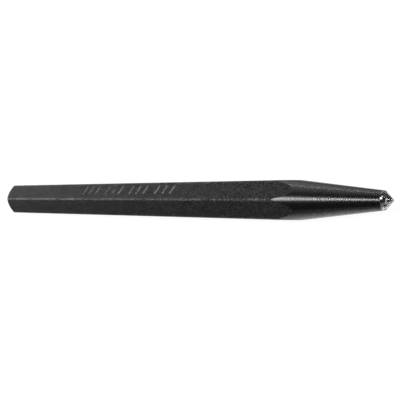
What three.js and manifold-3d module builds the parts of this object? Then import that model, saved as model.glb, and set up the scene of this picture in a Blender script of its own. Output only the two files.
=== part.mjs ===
// Center punch: one solid piece of hexagonal tool steel. Millimetres, +Z up.
// The axis runs along X with the point toward +X. The bar lies on one of its flats.
// Origin: centre of the underside, halfway along the length.
import * as THREE from 'three';
import Module from 'manifold-3d';
import { mergeVertices } from 'three/addons/utils/BufferGeometryUtils.js';

// Driving dimensions.
const LENGTH = 146.05;            // overall, striking face to point
const ACROSS_FLATS = 9.525;       // hexagon bar, 3/8 in
const CORNER_RADIUS = 0.8;        // rounding of the six long edges of the bar
const FACE_RADIUS = 4.1;          // flat striking face
const CHAMFER_ANGLE = 42;         // chamfer round the striking face, degrees from the axis
const NOSE_BASE_RADIUS = 2.2;     // small end of the tapered nose, where the point begins
const NOSE_ANGLE = 6.8;           // slope of the nose, degrees from the axis
const POINT_ANGLE = 45;           // half of the 90 degree point
const POINT_FLAT = 0.12;          // radius of the blunted tip
const BREAK_BACK = 0.24;          // small break where the nose meets the point: its length back from
const BREAK_AHEAD = 0.12;         //   that edge, and its depth ahead of it
const TURN_STEPS = 120;           // facets round the turned surfaces
const CORNER_STEPS = 6;           // facets in each rounded long edge
const OVERHANG = 2;               // spare bar beyond each end before it is turned
const WELD = 1e-5;                // vertices closer than this are one

const rad = (degrees) => degrees * Math.PI / 180;
const inradius = ACROSS_FLATS / 2;

// Hexagon section with rounded corners, flats facing up and down.
function hexagonSection() {
  const shape = new THREE.Shape();
  const centreDistance = (inradius - CORNER_RADIUS) / Math.cos(rad(30));
  for (let corner = 0; corner < 6; corner += 1) {
    const middle = rad(60 * corner);
    const cx = centreDistance * Math.cos(middle);
    const cy = centreDistance * Math.sin(middle);
    for (let step = 0; step <= CORNER_STEPS; step += 1) {
      const angle = middle + rad(-30 + 60 * step / CORNER_STEPS);
      const x = cx + CORNER_RADIUS * Math.cos(angle);
      const y = cy + CORNER_RADIUS * Math.sin(angle);
      if (corner === 0 && step === 0) {
        shape.moveTo(x, y);
      } else {
        shape.lineTo(x, y);
      }
    }
  }
  shape.closePath();
  return shape;
}

// Bar stock along X, centred on the axis, a little longer than the punch at both ends.
function barStock() {
  const geometry = new THREE.ExtrudeGeometry(hexagonSection(), {
    depth: LENGTH + 2 * OVERHANG,
    bevelEnabled: false,
    steps: 1,
  });
  geometry.translate(0, 0, -LENGTH / 2 - OVERHANG);
  // Extrusion direction to +X, section x to Y, section y to Z.
  geometry.applyMatrix4(new THREE.Matrix4().set(
    0, 0, 1, 0,
    1, 0, 0, 0,
    0, 1, 0, 0,
    0, 0, 0, 1,
  ));
  return geometry;
}

// Turned envelope: striking face, chamfer, clearance over the bar, nose and point.
function turnedEnvelope() {
  const outer = ACROSS_FLATS;
  const pointBase = LENGTH - (NOSE_BASE_RADIUS - POINT_FLAT) / Math.tan(rad(POINT_ANGLE));
  const noseStart = pointBase - (outer - NOSE_BASE_RADIUS) / Math.tan(rad(NOSE_ANGLE));
  const chamferEnd = (outer - FACE_RADIUS) / Math.tan(rad(CHAMFER_ANGLE));
  const profile = [
    [0, 0],
    [FACE_RADIUS, 0],
    [outer, chamferEnd],
    [outer, noseStart],
    [NOSE_BASE_RADIUS + BREAK_BACK * Math.tan(rad(NOSE_ANGLE)), pointBase - BREAK_BACK],
    [NOSE_BASE_RADIUS - BREAK_AHEAD, pointBase + BREAK_AHEAD / Math.tan(rad(POINT_ANGLE))],
    [POINT_FLAT, LENGTH],
    [0, LENGTH],
  ];
  const points = profile.map(([r, along]) => new THREE.Vector2(r, along - LENGTH / 2));
  const geometry = new THREE.LatheGeometry(points, TURN_STEPS);
  geometry.rotateZ(-Math.PI / 2);
  return geometry;
}

const wasm = await Module();
wasm.setup();

function toManifold(geometry) {
  const bare = geometry.clone();
  bare.deleteAttribute('normal');
  bare.deleteAttribute('uv');
  const merged = mergeVertices(bare, WELD);
  return new wasm.Manifold(new wasm.Mesh({
    numProp: 3,
    vertProperties: new Float32Array(merged.attributes.position.array),
    triVerts: new Uint32Array(merged.index.array),
  }));
}

function toGeometry(manifold) {
  const mesh = manifold.getMesh();
  const geometry = new THREE.BufferGeometry();
  geometry.setAttribute('position', new THREE.BufferAttribute(mesh.vertProperties, 3));
  geometry.setIndex(new THREE.BufferAttribute(mesh.triVerts, 1));
  geometry.computeVertexNormals();
  return geometry;
}

const body = toManifold(barStock()).intersect(toManifold(turnedEnvelope()));
const geometry = toGeometry(body);
geometry.translate(0, 0, inradius);

const punch = new THREE.Mesh(geometry, new THREE.MeshStandardMaterial({
  color: 0x26282a,
  metalness: 0.9,
  roughness: 0.45,
}));
punch.name = 'punch_body';

const group = new THREE.Group();
group.name = 'center_punch';
group.add(punch);

export default group;
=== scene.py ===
"""Center punch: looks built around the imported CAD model. Metres, +Z up, axis along X with the point at +X."""

import math

import bpy
from mathutils import Matrix, Vector


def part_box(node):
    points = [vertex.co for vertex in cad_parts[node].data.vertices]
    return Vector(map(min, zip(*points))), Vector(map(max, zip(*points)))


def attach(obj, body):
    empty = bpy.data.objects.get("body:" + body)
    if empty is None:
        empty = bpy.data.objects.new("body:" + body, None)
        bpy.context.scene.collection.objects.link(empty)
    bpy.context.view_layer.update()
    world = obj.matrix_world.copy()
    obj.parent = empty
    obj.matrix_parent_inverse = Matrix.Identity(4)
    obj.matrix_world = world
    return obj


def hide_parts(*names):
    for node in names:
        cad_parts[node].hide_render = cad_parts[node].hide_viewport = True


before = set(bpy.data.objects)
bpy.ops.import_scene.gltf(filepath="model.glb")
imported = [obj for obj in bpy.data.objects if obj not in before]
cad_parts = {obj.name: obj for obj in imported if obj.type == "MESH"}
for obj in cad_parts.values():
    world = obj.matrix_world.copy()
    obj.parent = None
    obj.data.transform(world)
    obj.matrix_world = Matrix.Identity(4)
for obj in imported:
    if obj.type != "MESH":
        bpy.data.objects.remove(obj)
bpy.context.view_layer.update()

# ---------------------------------------------------------------- sizes
MM = 0.001
low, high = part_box("punch_body")
LENGTH = high.x - low.x
INRADIUS = (high.z - low.z) / 2            # axis to a flat
CORNER_REACH = (high.y - low.y) / 2        # axis to a rounded corner
END_X = low.x
AXIS_Z = (low.z + high.z) / 2

SECTOR = math.radians(60)                  # one flat of the hexagon
HALF_SECTOR = SECTOR / 2
# The radius of the rounded long edges follows from the bar's two measured widths.
SHARP_REACH = INRADIUS / math.cos(HALF_SECTOR)
CORNER_RADIUS = (SHARP_REACH - CORNER_REACH) / (1 / math.cos(HALF_SECTOR) - 1)
CORNER_CENTRE = CORNER_REACH - CORNER_RADIUS
CORNER_SPAN = math.atan2(
    CORNER_RADIUS * math.sin(HALF_SECTOR),
    CORNER_CENTRE + CORNER_RADIUS * math.cos(HALF_SECTOR),
)

FACE_RADIUS = 4.1 * MM                     # flat striking face
CHAMFER_SLOPE = math.tan(math.radians(42))
NOSE_BASE_RADIUS = 2.2 * MM                # small end of the nose, where the point begins
NOSE_SLOPE = math.tan(math.radians(6.8))
POINT_SLOPE = math.tan(math.radians(45))
POINT_FLAT = 0.12 * MM                     # radius of the blunted tip
POINT_BASE = LENGTH - (NOSE_BASE_RADIUS - POINT_FLAT) / POINT_SLOPE
# The turned nose meets the long edges first, and the flats further on.
NOSE_FIRST_CUT = POINT_BASE - (CORNER_REACH - NOSE_BASE_RADIUS) / NOSE_SLOPE

EDGE_SOFTNESS = 0.12 * MM                  # how far each turned edge is rounded over
SHARP_ANGLE = math.radians(38)             # an edge sharper than this isn't shaded smooth

# How many rows and columns of the mesh each stretch has.
CORNER_COLUMNS = 10
FLAT_COLUMNS = 24
CHAMFER_ROWS = 3
BAR_ROWS = 40
NOSE_ROWS = 30
POINT_ROWS = 12

# The point is ground by hand, so two sets of narrow facets run down it.
COARSE_FACETS = 13
COARSE_FACET_DEPTH = 0.010                 # share of the radius
FINE_FACETS = 31
FINE_FACET_DEPTH = 0.006                   # share of the radius

# A row of plain slanted strokes is stamped along the top flat.
STROKE_GROUPS = 4
STROKES_IN_GROUP = 3
STROKE_PITCH = 3.0 * MM
GROUP_PITCH = 10.8 * MM
STROKE_FROM_END = 44 * MM                  # the first stroke's middle
STROKE_ACROSS = 0.4 * MM                   # the strokes' middle, off the middle of the flat
STROKE_HEIGHT = 2.6 * MM
STROKE_SLANT = 0.9 * MM                    # how far a stroke leans toward the point over its height
STROKE_WIDTH = 0.75 * MM
STROKE_DEPTH = 0.18 * MM                   # of the deepest stroke
STROKE_SIDE_SLOPE = 0.9                    # how far the sides lean out, as a share of the depth
STRIKE_SPREAD = 0.25                       # how much their depths vary, either side of the middle one
CUTTER_RISE = 0.1 * MM                     # how far the cutters stand out of the flat


# ---------------------------------------------------------------- shape
BAR, NOSE, END, STAMPED = range(4)         # material index of each zone of the blackened steel
GROUND = 0                                 # the ground point's only one

# (place across a rounded edge, share of its drop cut away there, share of its wear)
EDGE_PROFILE = ((-1.0, 0.0, 0.2), (-0.35, 0.55, 0.8), (0.0, 1.0, 1.0), (0.35, 0.55, 0.8), (1.0, 0.0, 0.2))
# How deep each turned edge is cut back where its surfaces meet, as a share of the softness.
CHAMFER_DROP = 0.12
NOSE_DROP = 0.02
POINT_DROP = 0.16
CLEAR = 2                                  # plain rows keep this many softnesses away from a rounded edge
CHAMFER_WEAR = 0.1
TURNED_EDGE_WEAR = 0.5

FACE_RINGS = (0.2, 0.45, 0.7, 0.85, 0.93)  # shares of the face's radius
# (from the face's plane, in from its edge, wear) down the edge of the face; lengths as shares of the softness
FACE_EDGE = ((0.0, 1.0, 0.3), (0.10, 0.45, 0.8), (0.28, 0.05, 1.0))
FACE_EDGE_END = (0.6, 0.06, 0.8)           # (from the face's plane, drop, wear) where that rounding runs out
# (back from the end, radius) of the blunted tip's rows, as shares of POINT_FLAT
TIP_PROFILE = ((0.3, 1.15), (0.06, 0.7))


def new_object(name, data):
    obj = bpy.data.objects.new(name, data)
    bpy.context.scene.collection.objects.link(obj)
    return obj


def steps(start, stop, count):
    return [start + (stop - start) * i / count for i in range(count + 1)]


def bar_radius(turn):
    """Distance from the axis to the hexagonal bar, in the direction turned this far from a corner."""
    off_corner = (turn + HALF_SECTOR) % SECTOR - HALF_SECTOR
    if abs(off_corner) > CORNER_SPAN:
        return INRADIUS / math.cos(HALF_SECTOR - abs(off_corner))
    across = CORNER_CENTRE * math.sin(off_corner)
    return CORNER_CENTRE * math.cos(off_corner) + math.sqrt(CORNER_RADIUS ** 2 - across ** 2)


def turns_round():
    """(direction, share of edge wear) of the mesh's columns: close together round each corner."""
    corner_wear_lost = 0.85                # from the middle of a corner to its side
    flat_edge_wear = 0.12
    worn_share = 0.08                      # of a flat, along each side
    margin = 0.02                          # of a flat, left clear of the corner's own columns
    flat_span = SECTOR - 2 * CORNER_SPAN
    turns = []
    for corner in range(6):
        middle = corner * SECTOR
        for place in steps(-1, 1, CORNER_COLUMNS):
            turns.append((middle + CORNER_SPAN * place, 1 - corner_wear_lost * abs(place)))
        for share in steps(margin, 1 - margin, FLAT_COLUMNS):
            near_corner = max(0.0, 1 - min(share, 1 - share) / worn_share)
            turns.append((middle + CORNER_SPAN + flat_span * share, flat_edge_wear * near_corner))
    return turns


def grinding(turn):
    """Radius of the hand-ground point this far round, as a share of its cone's: narrow uneven facets."""
    coarse = COARSE_FACET_DEPTH * math.sin(COARSE_FACETS * turn + 0.6)
    fine = FINE_FACET_DEPTH * math.sin(FINE_FACETS * turn + 2.0)
    return 1 + coarse + fine - COARSE_FACET_DEPTH - FINE_FACET_DEPTH


def column(turn, corner_wear):
    """Rows down one column, each (distance from the struck end, radius, edge wear, zone).

    The blackened steel's rows come first, then the ground point's. They share one row, where the two meet.
    """
    bar = bar_radius(turn)
    chamfer_end = (bar - FACE_RADIUS) / CHAMFER_SLOPE
    nose_start = POINT_BASE - (bar - NOSE_BASE_RADIUS) / NOSE_SLOPE
    soft = EDGE_SOFTNESS

    def surface(s):
        chamfer = FACE_RADIUS + s * CHAMFER_SLOPE
        nose = NOSE_BASE_RADIUS + (POINT_BASE - s) * NOSE_SLOPE
        point = POINT_FLAT + (LENGTH - s) * POINT_SLOPE
        return min(bar, chamfer, nose, point)

    def edge(at, drop, zone, wear):
        """Rows that round an edge over."""
        rows = []
        for place, cut, share in EDGE_PROFILE:
            s = at + place * soft
            rows.append((s, surface(s) - cut * drop * soft, wear * share, zone))
        return rows

    black = [(0.0, FACE_RADIUS * share, 0.0, END) for share in FACE_RINGS]
    black += [(back * soft, FACE_RADIUS - inward * soft, worn, END) for back, inward, worn in FACE_EDGE]
    at, drop, worn = FACE_EDGE_END
    black.append((at * soft, surface(at * soft) - drop * soft, worn, END))
    for s in steps(2 * at * soft, chamfer_end - 1.6 * soft, CHAMFER_ROWS):
        black.append((s, surface(s), CHAMFER_WEAR, END))
    black += edge(chamfer_end, CHAMFER_DROP, END, max(TURNED_EDGE_WEAR, corner_wear))
    for s in steps(chamfer_end + CLEAR * soft, nose_start - CLEAR * soft, BAR_ROWS):
        black.append((s, bar, corner_wear, BAR))
    black += edge(nose_start, NOSE_DROP, NOSE, TURNED_EDGE_WEAR)
    for s in steps(nose_start + CLEAR * soft, POINT_BASE - CLEAR * soft, NOSE_ROWS):
        black.append((s, surface(s), 0.0, NOSE))

    bright = edge(POINT_BASE, POINT_DROP, GROUND, 1.0)
    for s in steps(POINT_BASE + CLEAR * soft, LENGTH - POINT_FLAT, POINT_ROWS):
        bright.append((s, surface(s) * grinding(turn), 0.0, GROUND))
    for back, radius in TIP_PROFILE:
        bright.append((LENGTH - back * POINT_FLAT, radius * POINT_FLAT, 0.0, GROUND))
    return black + bright[:1], bright


def smooth_mesh(name, vertices, faces):
    """Smooth shaded, apart from edges sharper than any rounded one."""
    mesh = bpy.data.meshes.new(name)
    mesh.from_pydata(vertices, [], faces)
    mesh.polygons.foreach_set("use_smooth", [True] * len(mesh.polygons))
    mesh.update()
    mesh.set_sharp_from_angle(angle=SHARP_ANGLE)
    return mesh


def closed_skin(name, columns, start, end):
    """A closed skin over the same rows of every column, with its ends on the axis at start and end."""
    vertices = []
    wear = []
    for (turn, _), rows in zip(turns_round(), columns):
        for s, radius, worn, _ in rows:
            vertices.append((END_X + s, radius * math.cos(turn), AXIS_Z + radius * math.sin(turn)))
            wear.append(worn)
    start_centre = len(vertices)
    end_centre = start_centre + 1
    vertices += [(END_X + start, 0, AXIS_Z), (END_X + end, 0, AXIS_Z)]
    wear += [0.0, 0.0]
    row_zones = [zone for _, _, _, zone in columns[0]]
    last = len(row_zones) - 1
    faces = []
    zones = []
    for i in range(len(columns)):
        here = i * len(row_zones)
        there = (i + 1) % len(columns) * len(row_zones)
        faces.append((start_centre, here, there))
        faces += [(here + row, here + row + 1, there + row + 1, there + row) for row in range(last)]
        faces.append((here + last, end_centre, there + last))
        zones += [row_zones[0]] + row_zones
    mesh = smooth_mesh(name, vertices, faces)
    mesh.polygons.foreach_set("material_index", zones)
    mesh.attributes.new("wear", "FLOAT", "POINT").data.foreach_set("value", wear)
    return new_object(name, mesh)


def stroke_cutters():
    """A row of shallow flat-bottomed boats in the top flat, each the hollow that a straight stamp leaves."""
    across = Vector((STROKE_HEIGHT, -STROKE_SLANT, 0)).normalized()
    along = Vector((STROKE_SLANT, STROKE_HEIGHT, 0)) / 2
    vertices = []
    faces = []
    for i in range(STROKE_GROUPS * STROKES_IN_GROUP):
        group, place_in_group = divmod(i, STROKES_IN_GROUP)
        from_end = STROKE_FROM_END + group * GROUP_PITCH + place_in_group * STROKE_PITCH
        middle = Vector((END_X + from_end, STROKE_ACROSS, AXIS_Z + INRADIUS))
        struck = 1 - STRIKE_SPREAD * (1 - math.sin(2.3 * i))
        base = len(vertices)
        for depth in (-CUTTER_RISE, STROKE_DEPTH * struck):
            slope = depth * STROKE_SIDE_SLOPE
            level = middle - Vector((0, 0, depth))
            run = along - along.normalized() * slope
            half = across * (STROKE_WIDTH / 2 - slope)
            vertices += [level + run + half, level + run - half, level - run - half, level - run + half]
        faces.append([base + corner for corner in (0, 1, 2, 3)])
        faces.append([base + corner for corner in (7, 6, 5, 4)])
        for corner in range(4):
            following = (corner + 1) % 4
            faces.append((base + corner, base + corner + 4, base + following + 4, base + following))
    cutters = bpy.data.meshes.new("stroke_cutters")
    cutters.from_pydata([tuple(v) for v in vertices], [], faces)
    cutters.polygons.foreach_set("material_index", [STAMPED] * len(faces))
    return new_object("stroke_cutters", cutters)


def stamp(piece):
    """Cut the strokes into the piece and leave no modifier or cutter behind."""
    cutters = stroke_cutters()
    for material in piece.data.materials:
        cutters.data.materials.append(material)
    cut = piece.modifiers.new("strokes", "BOOLEAN")
    cut.operation = "DIFFERENCE"
    cut.solver = "EXACT"
    cut.object = cutters
    bpy.context.view_layer.update()
    stamped = bpy.data.meshes.new_from_object(piece.evaluated_get(bpy.context.evaluated_depsgraph_get()))
    piece.modifiers.clear()
    piece.data = stamped
    stamped.set_sharp_from_angle(angle=SHARP_ANGLE)
    bpy.data.objects.remove(cutters)


# ---------------------------------------------------------------- materials
def grey(value):
    return (value, value, value, 1)


class Surface:
    """A metal material, with short ways to add the nodes its pattern is made of. Lengths are in mm."""

    def __init__(self, name):
        self.material = bpy.data.materials.new(name)
        self.material.use_nodes = True
        self.tree = self.material.node_tree
        self.shader = self.tree.nodes["Principled BSDF"]
        place = self.add("ShaderNodeTexCoord").outputs["Object"]
        self.place = self.vector("SCALE", self.vector("SUBTRACT", place, (0, 0, AXIS_Z)), 1 / MM)

    def add(self, kind, **settings):
        node = self.tree.nodes.new(kind)
        for key, value in settings.items():
            setattr(node, key, value)
        return node

    def put(self, value, socket):
        if isinstance(value, bpy.types.NodeSocket):
            self.tree.links.new(value, socket)
        else:
            socket.default_value = value

    def vector(self, operation, a, b=0.0):
        node = self.add("ShaderNodeVectorMath", operation=operation)
        self.put(a, node.inputs[0])
        if operation != "NORMALIZE":
            self.put(b, node.inputs["Scale"] if operation == "SCALE" else node.inputs[1])
        return node.outputs["Vector"]

    def number(self, operation, a, b=0.0):
        node = self.add("ShaderNodeMath", operation=operation)
        self.put(a, node.inputs[0])
        self.put(b, node.inputs[1])
        return node.outputs[0]

    def total(self, first, *others):
        for other in others:
            first = self.number("ADD", first, other)
        return first

    def along_axis(self):
        node = self.add("ShaderNodeSeparateXYZ")
        self.put(self.place, node.inputs["Vector"])
        return node.outputs["X"]

    def off_axis(self):
        node = self.add("ShaderNodeVectorMath", operation="LENGTH")
        self.put(self.vector("MULTIPLY", self.place, (0, 1, 1)), node.inputs[0])
        return node.outputs["Value"]

    def stretched(self, share):
        """The place, with what is along the axis drawn out: a share of 0.5 makes a pattern twice as long."""
        return self.vector("MULTIPLY", self.place, (share, 1, 1))

    def noise(self, coordinates, scale, detail, roughness):
        node = self.add("ShaderNodeTexNoise")
        self.put(coordinates, node.inputs["Vector"])
        node.inputs["Scale"].default_value = scale
        node.inputs["Detail"].default_value = detail
        node.inputs["Roughness"].default_value = roughness
        return node.outputs["Fac"]

    def spread(self, value, taken, given):
        """Map one range of values to another, and hold what is past its ends."""
        node = self.add("ShaderNodeMapRange")
        self.put(value, node.inputs["Value"])
        node.inputs["From Min"].default_value = taken[0]
        node.inputs["From Max"].default_value = taken[1]
        node.inputs["To Min"].default_value = given[0]
        node.inputs["To Max"].default_value = given[1]
        return node.outputs["Result"]

    def feed_marks(self, travel, pitch):
        """Rings that a lathe tool leaves, this far apart along its travel, uneven in depth and spacing."""
        along = self.add("ShaderNodeCombineXYZ")
        self.put(travel, along.inputs["X"])
        where = self.vector("ADD", along.outputs["Vector"], self.vector("SCALE", self.place, 0.04))
        slow = self.noise(where, scale=0.5, detail=2.0, roughness=0.6)
        quick = self.noise(where, scale=1.3, detail=2.0, roughness=0.6)
        turned = self.number("MULTIPLY", travel, 2 * math.pi / pitch)
        phase = self.number("ADD", turned, self.spread(slow, (0.3, 0.7), (-1.6, 1.6)))
        depth = self.spread(quick, (0.35, 0.6), (0.3, 1.0))
        return self.spread(self.number("MULTIPLY", self.number("SINE", phase), depth), (-1, 1), (0, 1))

    def wear(self, strength=1.0):
        """The wear stored on the mesh, weakened by a pattern."""
        stored = self.add("ShaderNodeAttribute", attribute_name="wear").outputs["Fac"]
        return self.number("MULTIPLY", stored, strength)

    def blend(self, share, first, second):
        """Mix two colours. The node's sockets for colours are inputs 6 and 7 and output 2."""
        node = self.add("ShaderNodeMix", data_type="RGBA")
        self.put(share, node.inputs["Factor"])
        self.put(first, node.inputs[6])
        self.put(second, node.inputs[7])
        return node.outputs[2]

    def metal(self, colour, roughness, relief, depth):
        """The finished material: bare metal with a relief this deep."""
        self.put(colour, self.shader.inputs["Base Color"])
        self.put(roughness, self.shader.inputs["Roughness"])
        self.shader.inputs["Metallic"].default_value = 1.0
        bump = self.add("ShaderNodeBump")
        self.put(relief, bump.inputs["Height"])
        bump.inputs["Distance"].default_value = depth * MM
        bump.inputs["Strength"].default_value = 1.0
        self.put(bump.outputs["Normal"], self.shader.inputs["Normal"])
        return self.material


def black_bar():
    """Blackened drawn bar: sandy grain, faint lines along the bar, and patchy wear on its long edges."""
    thick_oxide = grey(0.005)
    thin_oxide = grey(0.063)
    rubbed_edge = grey(0.32)
    s = Surface("black_bar")
    grain = s.noise(s.place, scale=2.7, detail=4.0, roughness=0.75)
    sand = s.noise(s.stretched(0.7), scale=2.9, detail=1.0, roughness=0.5)
    lines = s.noise(s.stretched(0.06), scale=5.0, detail=2.0, roughness=0.6)
    cloud = s.noise(s.place, scale=0.16, detail=3.0, roughness=0.55)
    mottle = s.noise(s.stretched(0.7), scale=0.85, detail=2.0, roughness=0.6)

    tone = s.total(
        s.spread(grain, (0.38, 0.62), (-0.6, 0.6)),
        s.spread(sand, (0.35, 0.65), (-0.4, 0.4)),
        s.spread(cloud, (0.3, 0.7), (-0.12, 0.12)),
        s.spread(mottle, (0.36, 0.64), (-0.20, 0.20)),
    )
    oxide = s.blend(s.spread(tone, (-0.8, 0.8), (0, 1)), thick_oxide, thin_oxide)
    patches = s.spread(cloud, (0.42, 0.58), (0.35, 1))
    worn = s.wear(s.number("MULTIPLY", patches, s.spread(grain, (0.45, 0.60), (0, 1))))
    return s.metal(
        colour=s.blend(worn, oxide, rubbed_edge),
        roughness=s.spread(grain, (0.35, 0.65), (0.36, 0.56)),
        relief=s.total(grain, s.number("MULTIPLY", lines, 0.4)),
        depth=0.20,
    )


def black_nose():
    """Blackened turned nose: glossier, with fine feed marks that start a little way into the cut."""
    ring_pitch = 0.58
    even_length = 3                        # from the first cut, before the feed marks start to show
    fade_length = 10                       # over which they grow
    faintest = 0.2                         # their strength before that
    thick_oxide = grey(0.026)
    thin_oxide = grey(0.110)
    even_oxide = grey(0.082)
    rubbed_edge = grey(0.12)
    s = Surface("black_nose")
    fade_start = (END_X + NOSE_FIRST_CUT) / MM + even_length
    marked = s.spread(s.along_axis(), (fade_start, fade_start + fade_length), (faintest, 1))
    rings = s.number("MULTIPLY", s.feed_marks(s.along_axis(), ring_pitch), marked)
    grain = s.noise(s.place, scale=3.2, detail=3.0, roughness=0.7)

    flecks = s.total(s.spread(grain, (0.38, 0.62), (-0.7, 0.7)), s.spread(rings, (0, 1), (-0.25, 0.25)))
    uneven_oxide = s.blend(s.spread(flecks, (-0.7, 0.7), (0, 1)), thick_oxide, thin_oxide)
    oxide = s.blend(s.spread(marked, (faintest, 1), (0.5, 1)), even_oxide, uneven_oxide)
    worn = s.wear(s.spread(grain, (0.4, 0.6), (0, 1)))
    shine = s.total(s.spread(rings, (0.25, 0.75), (-0.6, 0.6)), s.spread(grain, (0.38, 0.62), (-0.5, 0.5)))
    return s.metal(
        colour=s.blend(worn, oxide, rubbed_edge),
        roughness=s.total(
            s.spread(shine, (-0.6, 0.6), (0.29, 0.11)),
            s.spread(marked, (faintest, 1), (-0.08, 0)),
        ),
        relief=s.total(rings, grain),
        depth=0.02,
    )


def turned_end():
    """The struck face and its chamfer: blackened over the rings of a facing cut, worn along the edges."""
    ring_pitch = 0.42
    thick_oxide = grey(0.012)
    thin_oxide = grey(0.075)
    rubbed_edge = grey(0.14)
    s = Surface("turned_end")
    rings = s.feed_marks(s.off_axis(), ring_pitch)
    grain = s.noise(s.place, scale=1.9, detail=4.0, roughness=0.72)

    mixed = s.total(s.spread(rings, (0.2, 0.8), (-0.22, 0.22)), s.spread(grain, (0.35, 0.65), (-0.5, 0.5)))
    oxide = s.blend(s.spread(mixed, (-0.7, 0.7), (0, 1)), thick_oxide, thin_oxide)
    worn = s.wear(s.spread(grain, (0.42, 0.58), (0.1, 1)))
    return s.metal(
        colour=s.blend(worn, oxide, rubbed_edge),
        roughness=s.spread(mixed, (-0.6, 0.6), (0.45, 0.30)),
        relief=s.total(rings, grain),
        depth=0.018,
    )


def stamped_steel():
    """The hollow of a stamped stroke: the black is thinner there and the metal shows through."""
    s = Surface("stamped_steel")
    grain = s.noise(s.place, scale=1.9, detail=4.0, roughness=0.72)
    return s.metal(
        colour=s.blend(s.spread(grain, (0.4, 0.6), (0, 1)), grey(0.04), grey(0.36)),
        roughness=s.spread(grain, (0.35, 0.65), (0.3, 0.45)),
        relief=grain,
        depth=0.06,
    )


def bright_point():
    """Bare ground steel: bright, with uneven grinding marks that run from the base to the tip."""
    dark_mark = grey(0.004)
    bare = grey(0.6)
    base_edge = grey(0.45)
    s = Surface("bright_point")
    round_axis = s.vector("NORMALIZE", s.vector("MULTIPLY", s.place, (0, 1, 1)))
    along = s.vector("MULTIPLY", s.place, (0.45, 0, 0))
    broad = s.vector("ADD", s.vector("SCALE", round_axis, 1.6), along)
    narrow = s.vector("ADD", s.vector("SCALE", round_axis, 2.2), along)
    marks = s.noise(broad, scale=2.6, detail=2.0, roughness=0.6)
    scratches = s.noise(narrow, scale=7.0, detail=2.0, roughness=0.6)
    mixed = s.total(marks, s.number("MULTIPLY", scratches, 0.3))
    steel = s.blend(s.spread(mixed, (0.6, 0.72), (0, 1)), dark_mark, bare)
    return s.metal(
        colour=s.blend(s.wear(), steel, base_edge),
        roughness=s.spread(marks, (0.4, 0.6), (0.17, 0.1)),
        relief=mixed,
        depth=0.06,
    )


# ---------------------------------------------------------------- pieces
def finish_piece(piece, materials):
    for material in materials:
        piece.data.materials.append(material)
    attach(piece, "root")
    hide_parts("punch_body")


# One bar of steel is two skins here, only because each slot colours a whole piece.
black_rows, bright_rows = zip(*(column(turn, wear) for turn, wear in turns_round()))
meeting = POINT_BASE - EDGE_SOFTNESS
steel = closed_skin("punch", black_rows, 0, meeting)
finish_piece(steel, (black_bar(), black_nose(), turned_end(), stamped_steel()))
stamp(steel)
point = closed_skin("punch_point", bright_rows, meeting, LENGTH)
finish_piece(point, (bright_point(),))

# ---------------------------------------------------------------- camera
PICTURE_WIDTH = 400                        # pixels
FOCAL_LENGTH = 700                         # pixels
DISTANCE = 188.5 * MM
AIM_FROM_END = 89.1 * MM                   # the point on the axis at the middle of the picture
AIM_ABOVE = 0.07 * MM
SIDE_ELEVATION = 59.7                      # degrees up round the axis, from -Y
TOWARD_POINT = 43.4                        # degrees from square across the axis
ROLL = -0.24                               # degrees

AXIS = Vector((1, 0, 0))


def side(elevation):
    """Unit vector square across the axis, this many degrees up from -Y."""
    angle = math.radians(elevation)
    return Vector((0, -math.cos(angle), math.sin(angle)))


def facing(toward_point, elevation):
    """Axes of a camera or lamp that looks at the punch from that side: X along the punch, Z away from it."""
    angle = math.radians(toward_point)
    outward = AXIS * math.sin(angle) + side(elevation) * math.cos(angle)
    along = AXIS * math.cos(angle) - side(elevation) * math.sin(angle)
    return Matrix((along, outward.cross(along), outward)).transposed()


def place(obj, turn, at):
    obj.matrix_world = Matrix.Translation(at) @ turn.to_4x4()


lens = bpy.data.cameras.new("camera")
lens.sensor_width = 36
lens.lens = FOCAL_LENGTH * lens.sensor_width / PICTURE_WIDTH
lens.clip_start = 0.01
camera = new_object("camera", lens)
turn = facing(TOWARD_POINT, SIDE_ELEVATION) @ Matrix.Rotation(math.radians(-ROLL), 3, "Z")
aim = Vector((END_X + AIM_FROM_END, 0, AXIS_Z)) - turn.col[1] * AIM_ABOVE
place(camera, turn, aim + turn.col[2] * DISTANCE)
bpy.context.scene.camera = camera

# ---------------------------------------------------------------- stage and light
TABLE_REACH = 2.0
TABLE_GREY = 0.12
TABLE_SEEN = 0.95                          # brightness behind the punch
TABLE_GLOW = (1.15, 0.15)                  # brightness that lights it, straight up and low along the table
ROOM_SEEN = 1.0
ROOM_GLOW = (0.085, 0.82)                  # away from the pale wall, and toward it
TOWARD_WALL = (-0.75, 0.6, -0.3)
LAMP_DISTANCE = 1.0


def smoothly(tree, value, taken, given):
    """Map one range of values to another, easing in and out at its ends."""
    node = tree.nodes.new("ShaderNodeMapRange")
    node.interpolation_type = "SMOOTHSTEP"
    tree.links.new(value, node.inputs["Value"])
    node.inputs["From Min"].default_value = taken[0]
    node.inputs["From Max"].default_value = taken[1]
    node.inputs["To Min"].default_value = given[0]
    node.inputs["To Max"].default_value = given[1]
    return node.outputs["Result"]


def seen_or_lit(tree, seen, lit):
    """One brightness where the stage is looked at, another where it lights the punch."""
    node = tree.nodes.new("ShaderNodeMix")
    tree.links.new(tree.nodes.new("ShaderNodeLightPath").outputs["Is Camera Ray"], node.inputs["Factor"])
    tree.links.new(lit, node.inputs["A"])
    node.inputs["B"].default_value = seen
    return node.outputs["Result"]


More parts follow.
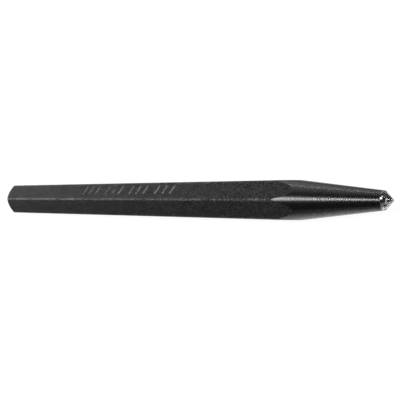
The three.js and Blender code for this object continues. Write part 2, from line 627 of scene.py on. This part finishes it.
def light_table():
    """Pale glowing table top, dimmer at a low angle, as a diffusing sheet is."""
    material = bpy.data.materials.new("light_table")
    material.use_nodes = True
    tree = material.node_tree
    shader = tree.nodes["Principled BSDF"]
    shader.inputs["Base Color"].default_value = grey(TABLE_GREY)
    shader.inputs["Roughness"].default_value = 0.9
    shader.inputs["Specular IOR Level"].default_value = 0.0
    shader.inputs["Emission Color"].default_value = grey(1)
    angle = tree.nodes.new("ShaderNodeLayerWeight").outputs["Facing"]
    glow = smoothly(tree, angle, (0.25, 0.78), TABLE_GLOW)
    tree.links.new(seen_or_lit(tree, TABLE_SEEN, glow), shader.inputs["Emission Strength"])

    corners = [(TABLE_REACH * x, TABLE_REACH * y, 0) for x, y in ((-1, -1), (1, -1), (1, 1), (-1, 1))]
    mesh = bpy.data.meshes.new("floor")
    mesh.from_pydata(corners, [], [(0, 1, 2, 3)])
    mesh.materials.append(material)
    new_object("floor", mesh)


def studio():
    """A dim room, with a pale wall on the side of the struck end and behind the punch."""
    world = bpy.data.worlds.new("studio")
    bpy.context.scene.world = world
    world.use_nodes = True
    tree = world.node_tree
    toward_wall = tree.nodes.new("ShaderNodeVectorMath")
    toward_wall.operation = "DOT_PRODUCT"
    tree.links.new(tree.nodes.new("ShaderNodeTexCoord").outputs["Generated"], toward_wall.inputs[0])
    toward_wall.inputs[1].default_value = TOWARD_WALL
    glow = smoothly(tree, toward_wall.outputs["Value"], (0.0, 0.5), ROOM_GLOW)
    tree.links.new(seen_or_lit(tree, ROOM_SEEN, glow), tree.nodes["Background"].inputs["Strength"])
    tree.nodes["Background"].inputs["Color"].default_value = grey(1)


def softbox(name, toward_point, elevation, length, width, watts):
    """Rectangular lamp aimed at the punch's middle, with its length along the punch."""
    lamp = bpy.data.lights.new(name, "AREA")
    lamp.shape = "RECTANGLE"
    lamp.size = length
    lamp.size_y = width
    lamp.energy = watts
    turn = facing(toward_point, elevation)
    place(new_object(name, lamp), turn, turn.col[2] * LAMP_DISTANCE)


light_table()
studio()
softbox("key", toward_point=-23, elevation=66.5, length=1.2, width=0.2, watts=6.3)
softbox("glint", toward_point=60.6, elevation=93, length=0.5, width=0.05, watts=1.9)
softbox("rim", toward_point=-30, elevation=147, length=1.3, width=0.03, watts=0.9)
softbox("side", toward_point=-84, elevation=4, length=0.5, width=0.3, watts=1.1)

bpy.context.scene.view_settings.view_transform = "Standard"
